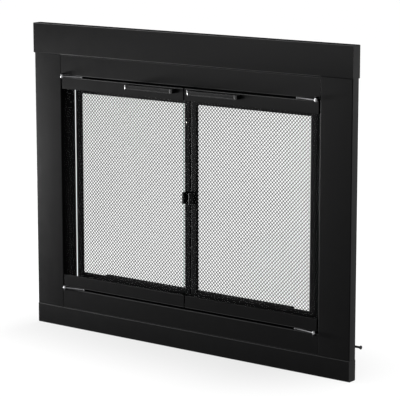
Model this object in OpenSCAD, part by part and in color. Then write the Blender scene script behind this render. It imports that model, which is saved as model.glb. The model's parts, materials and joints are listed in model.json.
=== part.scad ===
// Fireplace glass door. A sheet steel surround fastens over the opening of a masonry
// fireplace. Two glass doors swing outwards on corner pivots. Behind them hang two
// framed mesh doors, and a draft vent with a sliding plate stands on the sill.
// X runs to the right, Y into the fireplace and Z up. The origin is at mid width, at
// hearth level, on the masonry plane that the surround's rear flanges rest against.

/* [Surround] */
// Overall width, at the header
surround_w = 952.5; // [880:0.5:1040]
// Overall height
surround_h = 762; // [700:0.5:840]
// Depth from the side panels' front faces to the masonry plane
surround_d = 25.4; // [23:0.1:32]
// Height of the header
header_h = 74.5; // [60:0.5:90]
// How far the header stands out past the panels below it
header_overhang = 1.9; // [1:0.1:3]
// Height of the bottom panel
bottom_h = 49.5; // [40:0.5:60]
// Width of each side panel
side_w = 86.1; // [76:0.1:100]
// Height of the fixed rail above the doors
upper_rail_h = 50; // [42:0.5:60]
// Height of the fixed rail below the doors
lower_rail_h = 50; // [42:0.5:60]
// Width of the flanges that rest against the masonry
rear_flange = 12; // [9:0.5:15]
// Thickness of the surround's sheet
sheet_t = 1.5; // [1.2:0.1:2]
// Inside radius of the surround's bends
bend_inner_r = 0.6; // [0.4:0.1:1.2]

/* [Inner frame] */
// How far each jamb plate reaches into the doorway
jamb_reach = 23.9; // [18:0.1:26]
// Distance from the front faces back to the channels
channel_setback = 20; // [18:0.5:24]
// Depth of the channels above and below the mesh doors
channel_d = 40; // [38:0.5:48]
// Width of each channel's lips
channel_lip = 14; // [12:0.5:15]
// Height of the channel above the mesh doors
top_channel_h = 29; // [24:0.5:34]
// Height of the sill channel
sill_h = 24.5; // [20:0.5:30]

/* [Glass doors] */
// Gap above and below the glass doors
door_gap = 5; // [4.6:0.1:6]
// Gap between the doors' outer ends and the side panels
side_gap = 4.2; // [3.4:0.1:6]
// Gap between the two glass doors
meeting_gap = 4; // [3:0.1:8]
// Height of each door rail
door_rail_h = 29; // [26:0.5:34]
// Thickness of the door rails' sheet
door_sheet_t = 1.5; // [1:0.1:1.8]
// Thickness of the glass
glass_t = 4; // [3:0.5:5]
// Thickness of the gasket round the glass edges
gasket_t = 1; // [0.6:0.1:1.4]
// How deep the glass sits in the door rails
glass_grip = 10; // [8:0.5:12]

/* [Corner pivots] */
// Distance from a side panel to the pivot axis
pivot_inset = 8.2; // [7.8:0.1:12]
// Radius of the pivot balls
ball_r = 4; // [3.6:0.1:4.4]
// Radius of the pivot pins
pivot_pin_r = 1.5; // [1.2:0.1:1.8]
// Radius of the pivot rods
rod_r = 1.8; // [1.4:0.1:2]
// Length of the pivot rods along the door
rod_length = 57.5; // [45:0.5:80]
// Thickness of the pivot lugs
lug_t = 2; // [1.5:0.1:3]

/* [Handles] */
// Distance from the meeting line to a handle
handle_inset = 22; // [16:0.5:40]
// Length of a handle
handle_length = 146.5; // [110:0.5:180]
// Height of a handle's bar
handle_h = 10; // [9:0.5:13]
// How far a handle stands out from its rail
handle_reach = 21; // [18:0.5:30]
// Thickness of a handle's bar
handle_t = 6; // [5:0.5:8]
// Distance from the top of a door rail down to the middle of its handle
handle_drop = 7.5; // [7.5:0.1:8.5]

/* [Mesh doors] */
// Distance from the front faces back to the mesh doors
mesh_setback = 25.5; // [24:0.5:30]
// Gap between a jamb plate and its mesh door
mesh_side_gap = 1.6; // [1.4:0.1:4]
// Gap between the two mesh doors
mesh_meeting_gap = 3; // [2:0.1:5]
// Gap above and below the mesh doors
mesh_end_gap = 2; // [1.5:0.1:3]
// Width of the mesh doors' stiles
stile_w = 16.7; // [14:0.1:20]
// Width of the mesh doors' rails
mesh_rail_w = 14.2; // [12:0.1:20]
// Depth from a mesh frame's front to its mesh
mesh_depth = 5.1; // [4.9:0.1:7]
// Thickness of the mesh frames' sheet
frame_t = 1.2; // [1:0.1:1.5]
// Thickness of the mesh
mesh_t = 1.2; // [0.8:0.1:1.6]
// Meshes across one door
mesh_columns = 10; // [6:1:11]
// Meshes up one door
mesh_rows = 13; // [8:1:13]
// Width of the mesh's strands
strand_w = 2.4; // [1.6:0.1:4]
// Radius of the mesh doors' hinge pins
hinge_pin_r = 1.6; // [1.2:0.1:1.7]
// Height of the pulls
pull_h = 28; // [20:0.5:40]
// Width of the pulls
pull_w = 8; // [7:0.5:11]

/* [Draft vent] */
// Length of the vent's housing
vent_length = 568; // [500:1:640]
// Height of the vent's housing
vent_h = 14.7; // [14:0.1:20]
// Depth of the vent's housing
vent_d = 14; // [11:0.5:15]
// Distance between the air slots
slot_pitch = 54; // [50:1:60]
// Air slots on each side of the tab
slots_per_side = 4; // [1:1:4]
// Height of the air slots
slot_h = 7; // [5:0.5:8]

/* [Fastening] */
// How far the side brackets reach behind the masonry plane
bracket_reach = 34.6; // [25:0.1:60]
// Distance from a side panel's outer face in to its bracket
bracket_inset = 37.35; // [34:0.05:44]
// How far the tension screws stand out from their brackets
tension_reach = 30; // [16:0.5:60]
// Place of each lintel clamp, as a share of the channel's half length
clamp_share = 0.68; // [0.3:0.01:0.7]
// Height of the lintel pads above the doorway
lintel_reach = 66; // [40:1:90]
// Radius of the surround's bolts
bolt_r = 2; // [1.5:0.1:2.5]

/* [Hidden] */
$fn = 48;

// Clearances
seam_gap = 0.3;         // between panels that meet edge to edge
running_gap = 0.05;     // radial, between a pin and the hole that turns on it
bolt_play = 0.2;        // radial, round each bolt
lug_gap = 0.1;          // between a pivot ball and the lug that carries it
seat_gap = 0.1;         // between sheets that lie on each other
pull_gap = 1.5;         // between the glass and the mesh doors' pulls
magnet_gap = 0.3;       // between a magnet and its strike plate
glass_end_gap = 0.5;    // between the glass and the rails' end walls

// Surround
bend_r = sheet_t + bend_inner_r;
body_half = surround_w / 2 - header_overhang;
opening_half = body_half - side_w;
front_y = -surround_d;
header_d = surround_d + header_overhang;
header_z = surround_h - header_h;
doorway_low = bottom_h + lower_rail_h;
doorway_high = header_z - upper_rail_h;
panel_low = bottom_h + seam_gap;
panel_high = header_z - seam_gap;
return_d = 20;
seam_bolt_d = 12;
seam_bolt_y = front_y + seam_bolt_d;
rail_half = opening_half - bolt_play;
side_mid_x = opening_half + side_w / 2;
seam_bolt_x = [side_mid_x, opening_half / 2];

// Inner frame
jamb_edge = opening_half - jamb_reach;
jamb_leg_x = opening_half + sheet_t + seat_gap;
jamb_leg_d = 19;
jamb_rivet_y = front_y + 0.55 * surround_d;
channel_half = jamb_edge - seam_gap;
channel_y = front_y + channel_setback;
top_channel_z = doorway_high - top_channel_h;
seat_d = channel_setback + channel_lip + bend_r;
channel_bolt_y = channel_y + channel_lip / 2;
channel_bolt_x = 0.8 * channel_half;
clamp_bolt_spread = 10;

// Glass doors
door_low = doorway_low + door_gap;
door_high = doorway_high - door_gap;
door_outer = opening_half - side_gap;
door_inner = meeting_gap / 2;
door_t = glass_t + 2 * gasket_t + 2 * door_sheet_t;
door_bend_r = door_sheet_t + 0.5;
glass_y = front_y + door_sheet_t + gasket_t;
glass_back_y = glass_y + glass_t;
glass_low = door_low + door_rail_h - glass_grip;
glass_high = door_high - door_rail_h + glass_grip;
glass_outer = door_outer - door_sheet_t - glass_end_gap;
glass_inner = door_inner + door_sheet_t + glass_end_gap;
gasket_recess = 1;

// Corner pivots
pivot_x = opening_half - pivot_inset;
pivot_y = front_y - ball_r - 0.6;
pivot_z = [door_low - door_gap / 2, door_high + door_gap / 2];
barrel_half = door_gap / 2 + sheet_t - lug_gap;
rod_tail_y = front_y + door_t / 2;
rod_angle = atan2(rod_tail_y - pivot_y, rod_length);
lug_d = 16;
rivet_r = 2;
lug_back_y = front_y + lug_d;
lug_rivet_y = lug_back_y - 2.5 * rivet_r;

// Handles
handle_z = door_high - handle_drop;
handle_bend_r = handle_t + 1;
handle_screw_r = 1.5;
handle_thread = 10;
handle_screw_x = [handle_inset + handle_t / 2, handle_inset + handle_length - handle_t / 2];
strike_x = 45;
strike_w = 20;
strike_h = 16;
strike_t = 1.2;
magnet_y = front_y + door_t + strike_t + magnet_gap;
magnet_z = door_high - strike_h / 2 - 2;

// Mesh doors
mesh_y = front_y + mesh_setback;
mesh_low = doorway_low + sill_h + mesh_end_gap;
mesh_high = top_channel_z - mesh_end_gap;
mesh_outer = jamb_edge - mesh_side_gap;
mesh_inner = mesh_meeting_gap / 2;
frame_bend_r = frame_t + 0.4;
screen_y = mesh_y + mesh_depth;
retainer_t = 1.5;
outer_return = mesh_depth + mesh_t + retainer_t;
screen_margin = frame_t + 0.3;
window_x = [mesh_inner + stile_w, mesh_outer - stile_w];
window_z = [mesh_low + mesh_rail_w, mesh_high - mesh_rail_w];
hinge_inset = 5.8;
hinge_x = mesh_outer - hinge_inset;
hinge_y = mesh_y + (frame_t + mesh_depth) / 2;
hinge_pin_in = 10;
bush_flange_r = hinge_pin_r + 2;
bush_r = hinge_pin_r + 1.1;
bush_length = 6;
pull_x = mesh_inner + stile_w / 2;
pull_z = (doorway_low + doorway_high) / 2;
pull_front_y = glass_back_y + pull_gap;
pull_depth = mesh_y - pull_front_y;
pull_screw_r = 2;
pull_thread = 10;
pull_hollow_r = 5;

// Draft vent
vent_setback = 40.3;
vent_y = front_y + vent_setback;
vent_z = doorway_low + sill_h;
vent_half = vent_length / 2;
vent_sheet_t = 1.2;
slide_gap = 0.3;
slide_y = vent_y + vent_sheet_t + slide_gap;
slide_t = 1.2;
slide_low = vent_z + vent_sheet_t + slide_gap;
slide_high = vent_z + vent_h - vent_sheet_t - slide_gap;
slide_travel = slot_pitch / 2;
slot_w = slot_pitch / 2 - 1;
first_slot_x = 75;
slot_z = vent_z + vent_h / 2;
tab_w = 10;
tab_h = 6;
tab_reach = 5;

// Fastening
bracket_t = 2.5;
bracket_r = 16;
bracket_z = bottom_h + bracket_r + bracket_t;
bracket_x = body_half - bracket_inset;
bracket_foot = 20;
tension_inner = 22;
tension_end = bracket_x + tension_reach;
tension_r = 2.4;
pad_r = 4.5;
pad_t = 2.5;
clamp_t = 2.5;
clamp_w = 30;
clamp_bolt_r = 3;
lintel_pad_r = 8;
lintel_pad_t = 3;
clamp_x = clamp_share * channel_half;
clamp_y = channel_y + channel_d / 2;
clamp_z = doorway_high + sheet_t;

// ---- Shared shapes ----

// Draws a right-hand piece as it is (side 1) or mirrored to the left (side -1)
module on_side(side) {
    mirror([side < 0 ? 1 : 0, 0, 0]) children();
}

// Draws a piece on both sides
module both_sides() {
    for (side = [-1, 1]) on_side(side) children();
}

// Extrudes a section along X from x: its first axis lies along Y, its second along Z
module along_x(x, length) {
    translate([x, 0, 0]) rotate([90, 0, 90]) linear_extrude(length) children();
}

// Extrudes a plan section up from z
module along_z(z, length) {
    translate([0, 0, z]) linear_extrude(length) children();
}

// A rectangle with round corners
module round_rect(w, h, r) {
    translate([0, r]) square([w, h - 2 * r]);
    translate([r, 0]) square([w - 2 * r, h]);
    for (x = [r, w - r], y = [r, h - r]) translate([x, y]) circle(r);
}

// The section of a closed sheet box
module tube_section(w, h, t, r) {
    difference() {
        round_rect(w, h, r);
        translate([t, t]) round_rect(w - 2 * t, h - 2 * t, r - t);
    }
}

// A channel's outline: a web along the second axis, open along the first
module channel_outline(h, depth, r) {
    difference() {
        round_rect(depth + 2 * r, h, r);
        translate([depth, -1]) square([2 * r + 1, h + 2]);
    }
}

// A channel's section: the web, and returns low_d and high_d deep
module channel_section(h, low_d, high_d, t, r) {
    deep = max(low_d, high_d);
    difference() {
        tube_section(deep + 2 * r, h, t, r);
        translate([low_d, -1]) square([deep + 2 * r, h / 2 + 1]);
        translate([high_d, h / 2]) square([deep + 2 * r, h / 2 + 1]);
    }
}

// An angle's section: legs a and b long from a corner at the origin
module angle_section(a, b, t, r) {
    difference() {
        intersection() {
            round_rect(2 * a, 2 * b, r);
            square([a, b]);
        }
        translate([t, t]) intersection() {
            round_rect(2 * a, 2 * b, r - t);
            square([a, b]);
        }
    }
}

// A hex bolt up Z: the head's seat at z = 0, the nut's seat at z = grip
module bolt(r, grip) {
    translate([0, 0, -1.4 * r]) cylinder(r = 2 * r, h = 1.4 * r, $fn = 6);
    cylinder(r = r, h = grip + 2.4 * r);
    translate([0, 0, grip]) cylinder(r = 2 * r, h = 1.6 * r, $fn = 6);
}

// A rivet up Z: the flat head's seat at z = 0, the closed end at z = grip
module rivet(r, grip) {
    translate([0, 0, -0.5 * r]) cylinder(r1 = 1.3 * r, r2 = 1.8 * r, h = 0.5 * r);
    cylinder(r = r, h = grip);
    translate([0, 0, grip]) cylinder(r1 = 1.6 * r, r2 = 1.2 * r, h = 0.7 * r);
}

// ---- Surround ----

// The upright bolts through a seam, or their holes
module seam_bolt_places(z) {
    for (x = seam_bolt_x) both_sides() translate([x, seam_bolt_y, z]) children();
}

// A header or bottom panel: a sheet box with its ends closed and an open back
module long_panel(half, depth, h) {
    along_x(-half, 2 * half) translate([-depth, 0]) difference() {
        tube_section(depth, h, sheet_t, bend_r);
        translate([depth - bend_r - 1, rear_flange]) square([bend_r + 2, h - 2 * rear_flange]);
    }
    for (x = [-half, half - sheet_t])
        along_x(x, sheet_t) translate([-depth, 0]) round_rect(depth, h, bend_r);
}

module header_panel() {
    color("#2b2b2c") difference() {
        translate([0, 0, header_z]) long_panel(surround_w / 2, header_d, header_h);
        seam_bolt_places(header_z - 1) cylinder(r = bolt_r + bolt_play, h = sheet_t + 2);
    }
}

module bottom_panel() {
    color("#1c1c1d") difference() {
        long_panel(body_half, surround_d, bottom_h);
        seam_bolt_places(bottom_h - sheet_t - 1) cylinder(r = bolt_r + bolt_play, h = sheet_t + 2);
    }
}

// The bolts between the rails' end walls and the side panels, or their holes
module rail_bolt_places() {
    for (z = [(panel_low + doorway_low) / 2, (panel_high + doorway_high) / 2])
        both_sides() translate([rail_half - sheet_t, seam_bolt_y, z]) rotate([0, 90, 0]) children();
}

// The rivets through the jamb plates' legs, or their holes
module jamb_rivet_places(side) {
    doorway_h = doorway_high - doorway_low;
    for (share = [0.15, 0.5, 0.85]) on_side(side)
        translate([opening_half, jamb_rivet_y, doorway_low + share * doorway_h])
            rotate([0, 90, 0]) children();
}

module side_panel(side) {
    rear_cut = bend_r + seat_gap;
    color("#262627") difference() {
        on_side(side) translate([opening_half, front_y, 0]) {
            along_z(panel_low, panel_high - panel_low) difference() {
                tube_section(side_w, surround_d, sheet_t, bend_r);
                translate([-1, surround_d - rear_cut]) square([side_w - rear_flange + 1, rear_cut + 1]);
            }
            for (z = [panel_low, panel_high - sheet_t])
                along_z(z, sheet_t) round_rect(side_w, surround_d, bend_r);
        }
        seam_bolt_places(panel_low - 1) cylinder(r = bolt_r + bolt_play, h = sheet_t + 2);
        seam_bolt_places(panel_high - sheet_t - 1) cylinder(r = bolt_r + bolt_play, h = sheet_t + 2);
        rail_bolt_places() cylinder(r = bolt_r + bolt_play, h = 2 * sheet_t + 2);
        jamb_rivet_places(side) translate([0, 0, -1]) cylinder(r = rivet_r + running_gap, h = sheet_t + 2);
    }
}

// A fixed rail: a channel with its ends closed, low_d and high_d deep at its two edges
module fixed_rail(z, h, low_d, high_d) {
    translate([0, front_y, z]) {
        along_x(-rail_half, 2 * rail_half) channel_section(h, low_d, high_d, sheet_t, bend_r);
        for (x = [-rail_half, rail_half - sheet_t]) along_x(x, sheet_t) channel_outline(h, return_d, bend_r);
    }
}

// The bolts that hold the two channels to the fixed rails, or their holes
module channel_bolt_places(z) {
    for (x = [-channel_bolt_x, 0, channel_bolt_x]) translate([x, channel_bolt_y, z]) children();
}

// The bolts that hold the lintel clamps, or their holes
module clamp_bolt_places(z) {
    for (x = [clamp_x - clamp_bolt_spread, clamp_x + clamp_bolt_spread])
        both_sides() translate([x, channel_bolt_y, z]) children();
}

// The slots in the fixed rails' faces that the pivot lugs pass through
module lug_slots(z, h) {
    both_sides() translate([pivot_x - ball_r - seat_gap, front_y - 1, z])
        cube([2 * (ball_r + seat_gap), bend_r + 2, h]);
}

// The places of the rivets that hold the pivot lugs
module lug_rivet_places(z) {
    both_sides() translate([pivot_x, lug_rivet_y, z]) children();
}

module upper_rail() {
    color("#262627") difference() {
        fixed_rail(doorway_high, panel_high - doorway_high, seat_d, return_d);
        seam_bolt_places(panel_high - sheet_t - 1) cylinder(r = bolt_r + bolt_play, h = sheet_t + 2);
        rail_bolt_places() translate([0, 0, -1]) cylinder(r = bolt_r + bolt_play, h = sheet_t + 2);
        channel_bolt_places(doorway_high - 1) cylinder(r = bolt_r + bolt_play, h = sheet_t + 2);
        clamp_bolt_places(doorway_high - 1) cylinder(r = bolt_r + bolt_play, h = sheet_t + 2);
        lug_rivet_places(doorway_high - 1) cylinder(r = rivet_r + running_gap, h = sheet_t + 2);
        lug_slots(doorway_high + sheet_t, lug_t + seat_gap);
    }
}

module lower_rail() {
    color("#1f1f20") difference() {
        fixed_rail(panel_low, doorway_low - panel_low, return_d, seat_d);
        seam_bolt_places(panel_low - 1) cylinder(r = bolt_r + bolt_play, h = sheet_t + 2);
        rail_bolt_places() translate([0, 0, -1]) cylinder(r = bolt_r + bolt_play, h = sheet_t + 2);
        channel_bolt_places(doorway_low - sheet_t - 1) cylinder(r = bolt_r + bolt_play, h = sheet_t + 2);
        lug_rivet_places(doorway_low - sheet_t - 1) cylinder(r = rivet_r + running_gap, h = sheet_t + 2);
        lug_slots(doorway_low - sheet_t - lug_t - seat_gap, lug_t + seat_gap);
    }
}

module seam_bolts() {
    color("#8a8a8c") {
        seam_bolt_places(panel_high - sheet_t) bolt(bolt_r, 2 * sheet_t + seam_gap);
        seam_bolt_places(bottom_h - sheet_t) bolt(bolt_r, 2 * sheet_t + seam_gap);
    }
}

module rail_bolts() {
    color("#8a8a8c") rail_bolt_places() bolt(bolt_r, 2 * sheet_t + bolt_play);
}

// ---- Inner frame ----

module jamb(side) {
    z = doorway_low + seat_gap;
    leg_outer = jamb_leg_x + sheet_t;
    color("#141415") difference() {
        on_side(side) along_z(z, doorway_high - seat_gap - z) translate([leg_outer, 0]) rotate(180)
            angle_section(leg_outer - jamb_edge, jamb_leg_d, sheet_t, bend_r);
        jamb_rivet_places(side) cylinder(r = rivet_r + running_gap, h = 3 * sheet_t);
    }
}

// A channel across the doorway, closed at z = 0 and open towards z = h
module cross_channel(h) {
    translate([0, channel_y, 0]) along_x(-channel_half, 2 * channel_half) difference() {
        tube_section(channel_d, h, sheet_t, bend_r);
        translate([channel_lip, h - bend_r - 1]) square([channel_d - 2 * channel_lip, bend_r + 2]);
    }
}

// The seats of the mesh door bushes: through the channel's wall at z
module bush_holes(z) {
    both_sides() translate([hinge_x, hinge_y, z - 1]) cylinder(r = bush_r, h = sheet_t + 2);
}

module top_channel() {
    color("#1a1a1b") difference() {
        translate([0, 0, top_channel_z]) cross_channel(top_channel_h);
        bush_holes(top_channel_z);
        channel_bolt_places(doorway_high - sheet_t - 1) cylinder(r = bolt_r + bolt_play, h = sheet_t + 2);
        clamp_bolt_places(doorway_high - sheet_t - 1) cylinder(r = bolt_r + bolt_play, h = sheet_t + 2);
    }
}

module sill_channel() {
    color("#1a1a1b") difference() {
        translate([0, 0, vent_z]) mirror([0, 0, 1]) cross_channel(sill_h);
        bush_holes(vent_z - sheet_t);
        channel_bolt_places(doorway_low - 1) cylinder(r = bolt_r + bolt_play, h = sheet_t + 2);
    }
}

module channel_bolts() {
    color("#8a8a8c") {
        channel_bolt_places(doorway_high - sheet_t) bolt(bolt_r, 2 * sheet_t);
        channel_bolt_places(doorway_low - sheet_t) bolt(bolt_r, 2 * sheet_t);
    }
}

module frame_rivets() {
    color("#1a1a1b") {
        for (side = [-1, 1]) jamb_rivet_places(side) rivet(rivet_r, 2 * sheet_t + seat_gap);
        lug_rivet_places(doorway_high) rivet(rivet_r, sheet_t + lug_t);
        lug_rivet_places(doorway_low) mirror([0, 0, 1]) rivet(rivet_r, sheet_t + lug_t);
    }
}

// ---- Corner pivots, fixed half ----

// One lug with its pin hole, lying on z = 0
module pivot_lug() {
    translate([pivot_x, pivot_y, 0]) difference() {
        union() {
            cylinder(r = ball_r, h = lug_t);
            translate([-ball_r, 0, 0]) cube([2 * ball_r, lug_back_y - pivot_y, lug_t]);
        }
        translate([0, 0, -1]) cylinder(r = pivot_pin_r, h = lug_t + 2);
        translate([0, lug_rivet_y - pivot_y, -1]) cylinder(r = rivet_r + running_gap, h = lug_t + 2);
    }
}

module pivot_lugs() {
    color("#1a1a1b") both_sides() {
        translate([0, 0, doorway_high + sheet_t]) pivot_lug();
        translate([0, 0, doorway_low - sheet_t - lug_t]) pivot_lug();
    }
}

// One headed pin: the head lies on z = 0 and the shank hangs down through lug and ball
module pivot_pin() {
    shank = lug_t + lug_gap + 2 * barrel_half + 0.6;
    cylinder(r = pivot_pin_r + 1, h = 1.2);
    translate([0, 0, -shank]) cylinder(r = pivot_pin_r, h = shank);
}

module pivot_pins() {
    color("#9a9a9c") both_sides() {
        translate([pivot_x, pivot_y, doorway_high + sheet_t + lug_t]) pivot_pin();
        translate([pivot_x, pivot_y, doorway_low - sheet_t - lug_t]) mirror([0, 0, 1]) pivot_pin();
    }
}

// One flanged bush: the flange lies under z = 0 and the sleeve goes up
module hinge_bush() {
    flange_t = mesh_end_gap - 0.2;
    difference() {
        union() {
            translate([0, 0, -flange_t]) cylinder(r = bush_flange_r, h = flange_t);
            cylinder(r = bush_r, h = bush_length);
        }
        translate([0, 0, -flange_t - 1])
            cylinder(r = hinge_pin_r + running_gap, h = flange_t + bush_length + 2);
    }
}

module mesh_hinge_bushes() {
    color("#b08d4a") both_sides() {
        translate([hinge_x, hinge_y, top_channel_z]) hinge_bush();
        translate([hinge_x, hinge_y, vent_z]) mirror([0, 0, 1]) hinge_bush();
    }
}

module magnet_catches() {
    magnet_d = channel_y - magnet_y;
    color("#3a3a3c") both_sides() translate([strike_x, magnet_y, magnet_z - strike_h / 2]) {
        cube([strike_w, magnet_d, strike_h]);
        translate([-3, magnet_d - 2, 3]) cube([strike_w + 6, 2, strike_h - 6]);
    }
}

// ---- Glass doors ----

// A door rail's section, hanging from its web at the origin
module door_rail_section() {
    rotate(-90) channel_section(door_t, door_rail_h, door_rail_h, door_sheet_t, door_bend_r);
}

// A door rail with closed ends, its web's outer face at z = 0 and its walls hanging down
module door_rail() {
    length = door_outer - door_inner;
    translate([0, front_y, 0]) {
        along_x(door_inner, length) door_rail_section();
        for (x = [door_inner, door_outer - door_sheet_t])
            along_x(x, door_sheet_t) rotate(-90) channel_outline(door_t, door_rail_h, door_bend_r);
    }
}

// The hole for a pivot rod's tail, through a web at z
module rod_tail_hole(z) {
    translate([pivot_x - rod_length, rod_tail_y, z - door_sheet_t - 1])
        cylinder(r = rod_r, h = door_sheet_t + 2);
}

module top_rail(side) {
    color("#2a2a2b") on_side(side) difference() {
        translate([0, 0, door_high]) door_rail();
        rod_tail_hole(door_high);
        for (x = handle_screw_x) translate([x, front_y - 1, handle_z]) rotate([-90, 0, 0])
            cylinder(r = handle_screw_r + running_gap, h = door_t + 2);
    }
}

module bottom_rail(side) {
    color("#222223") on_side(side) difference() {
        translate([0, 0, door_low]) mirror([0, 0, 1]) door_rail();
        rod_tail_hole(door_low + door_sheet_t);
    }
}

module glass_pane(side) {
    color("#7a8082", 0.35) on_side(side) translate([glass_inner, glass_y, glass_low])
        cube([glass_outer - glass_inner, glass_t, glass_high - glass_low]);
}

// A gasket folded over the glass edge: its inner edge at z = 0 and its fold upwards
module gasket() {
    grip = glass_grip - gasket_recess;
    translate([glass_inner, glass_y - gasket_t, 0]) difference() {
        cube([glass_outer - glass_inner, glass_t + 2 * gasket_t, grip + gasket_t]);
        translate([-1, gasket_t, -1]) cube([glass_outer - glass_inner + 2, glass_t, grip + 1]);
    }
}

module gaskets(side) {
    grip = glass_grip - gasket_recess;
    color("#101010") on_side(side) {
        translate([0, 0, glass_high - grip]) gasket();
        translate([0, 0, glass_low + grip]) mirror([0, 0, 1]) gasket();
    }
}

// A bar bent back to the rail at both ends, with a shallow groove along its face
module handle(side) {
    front = front_y - handle_reach;
    groove_h = handle_h - 4;
    color("#303031") on_side(side) difference() {
        along_z(handle_z - handle_h / 2, handle_h)
            translate([handle_inset + handle_length, front]) rotate(90)
                channel_section(handle_length, handle_reach, handle_reach, handle_t, handle_bend_r);
        translate([handle_inset + handle_bend_r, front - 1, handle_z - groove_h / 2])
            cube([handle_length - 2 * handle_bend_r, 2, groove_h]);
        for (x = handle_screw_x) translate([x, front_y - handle_thread - 1, handle_z]) rotate([-90, 0, 0])
            cylinder(r = handle_screw_r, h = handle_thread + 2);
    }
}

module handle_screws(side) {
    color("#777779") on_side(side) for (x = handle_screw_x)
        translate([x, front_y + door_t, handle_z]) rotate([90, 0, 0]) {
            cylinder(r = handle_screw_r, h = door_t + handle_thread);
            translate([0, 0, -2]) cylinder(r = 2 * handle_screw_r, h = 2);
        }
}

// One pivot rod: a bored ball, a straight rod into the gap, and a collar on the rail's web
// with a tail that goes down through it
module pivot_rod() {
    length = rod_length / cos(rod_angle);
    cut = barrel_half - 0.1;
    difference() {
        union() {
            translate([pivot_x, pivot_y, 0]) intersection() {
                sphere(r = ball_r);
                translate([-ball_r - 1, -ball_r - 1, -cut]) cube([2 * ball_r + 2, 2 * ball_r + 2, 2 * cut]);
            }
            translate([pivot_x, pivot_y, -barrel_half])
                cylinder(r = pivot_pin_r + 1.3, h = 2 * barrel_half);
            translate([pivot_x, pivot_y, 0]) rotate([0, -90, -rod_angle]) cylinder(r = rod_r, h = length);
            translate([pivot_x - rod_length, rod_tail_y, -door_gap / 2]) {
                cylinder(r = rod_r + 0.6, h = door_gap / 2 + rod_r + 0.25);
                translate([0, 0, -door_sheet_t]) cylinder(r = rod_r, h = door_sheet_t + 1);
            }
        }
        translate([pivot_x, pivot_y, -ball_r - 1])
            cylinder(r = pivot_pin_r + running_gap, h = 2 * ball_r + 2);
    }
}

module pivot_rods(side) {
    color("#a8a8aa") on_side(side) {
        translate([0, 0, pivot_z[1]]) pivot_rod();
        translate([0, 0, pivot_z[0]]) mirror([0, 0, 1]) pivot_rod();
    }
}

module strike_plate(side) {
    color("#6e6e70") on_side(side) translate([strike_x, front_y + door_t, magnet_z - strike_h / 2])
        cube([strike_w, strike_t, strike_h]);
}

// ---- Mesh doors ----

// A mesh stile with closed ends: outer is its outer edge, out and in its two returns
module mesh_stile(edge, out, in) {
    h = mesh_high - mesh_low;
    translate([edge, mesh_y, 0]) {
        along_z(mesh_low, h) rotate(90) channel_section(stile_w, out, in, frame_t, frame_bend_r);
        for (z = [mesh_low, mesh_high - frame_t])
            along_z(z, frame_t) rotate(90) channel_outline(stile_w, mesh_depth, frame_bend_r);
    }
}

module mesh_stiles(side) {
    color("#262627") on_side(side) difference() {
        union() {
            mesh_stile(mesh_outer, outer_return, mesh_depth);
            mesh_stile(mesh_inner + stile_w, mesh_depth, outer_return);
        }
        translate([hinge_x, hinge_y, mesh_low - 1]) cylinder(r = hinge_pin_r, h = frame_t + 2);
        translate([hinge_x, hinge_y, mesh_high - frame_t - 1]) cylinder(r = hinge_pin_r, h = frame_t + 2);
        translate([pull_x, mesh_y - 1, pull_z]) rotate([-90, 0, 0])
            cylinder(r = pull_screw_r + running_gap, h = frame_t + 2);
    }
}

module mesh_rails(side) {
    length = window_x[1] - window_x[0];
    color("#262627") on_side(side) translate([0, mesh_y, 0]) {
        along_x(window_x[0], length) translate([0, mesh_low])
            channel_section(mesh_rail_w, outer_return, mesh_depth, frame_t, frame_bend_r);
        along_x(window_x[0], length) translate([0, mesh_high - mesh_rail_w])
            channel_section(mesh_rail_w, mesh_depth, outer_return, frame_t, frame_bend_r);
    }
}

// One opening of the mesh
module diamond(w, h) {
    polygon([[-w / 2, 0], [0, -h / 2], [w / 2, 0], [0, h / 2]]);
}

// The wire mesh, drawn in the window as a lattice of diamonds with whole ones at its corners
module mesh_screen(side) {
    window_w = window_x[1] - window_x[0];
    window_h = window_z[1] - window_z[0];
    pitch = [window_w / mesh_columns, window_h / mesh_rows];
    gap = [pitch[0] - strand_w * 1.4, pitch[1] - strand_w * 1.4];
    color("#4a4a4b") on_side(side) translate([0, screen_y + mesh_t, 0]) rotate([90, 0, 0])
        linear_extrude(mesh_t) difference() {
            translate([mesh_inner + screen_margin, mesh_low + screen_margin])
                square([mesh_outer - mesh_inner, mesh_high - mesh_low] - 2 * [screen_margin, screen_margin]);
            intersection() {
                translate([window_x[0], window_z[0]]) square([window_w, window_h]);
                translate([window_x[0], window_z[0]]) {
                    for (i = [0 : mesh_columns - 1], j = [0 : mesh_rows - 1])
                        translate([(i + 0.5) * pitch[0], (j + 0.5) * pitch[1]]) diamond(gap[0], gap[1]);
                    for (i = [0 : mesh_columns], j = [0 : mesh_rows])
                        if ((i > 0 && i < mesh_columns) || (j > 0 && j < mesh_rows))
                            translate([i * pitch[0], j * pitch[1]]) diamond(gap[0], gap[1]);
                }
            }
        }
}

// Flat bars that clamp the mesh against the frame's inner returns
module mesh_retainers(side) {
    x0 = mesh_inner + screen_margin;
    x1 = mesh_outer - screen_margin;
    z0 = mesh_low + screen_margin;
    z1 = mesh_high - screen_margin;
    upright = stile_w - screen_margin;
    cross = mesh_rail_w - screen_margin;
    y = screen_y + mesh_t;
    color("#1c1c1d") on_side(side) {
        for (x = [x0, x1 - upright]) translate([x, y, z0]) cube([upright, retainer_t, z1 - z0]);
        for (z = [z0, z1 - cross]) translate([x0 + upright + seam_gap, y, z])
            cube([x1 - x0 - 2 * (upright + seam_gap), retainer_t, cross]);
    }
}

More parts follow.
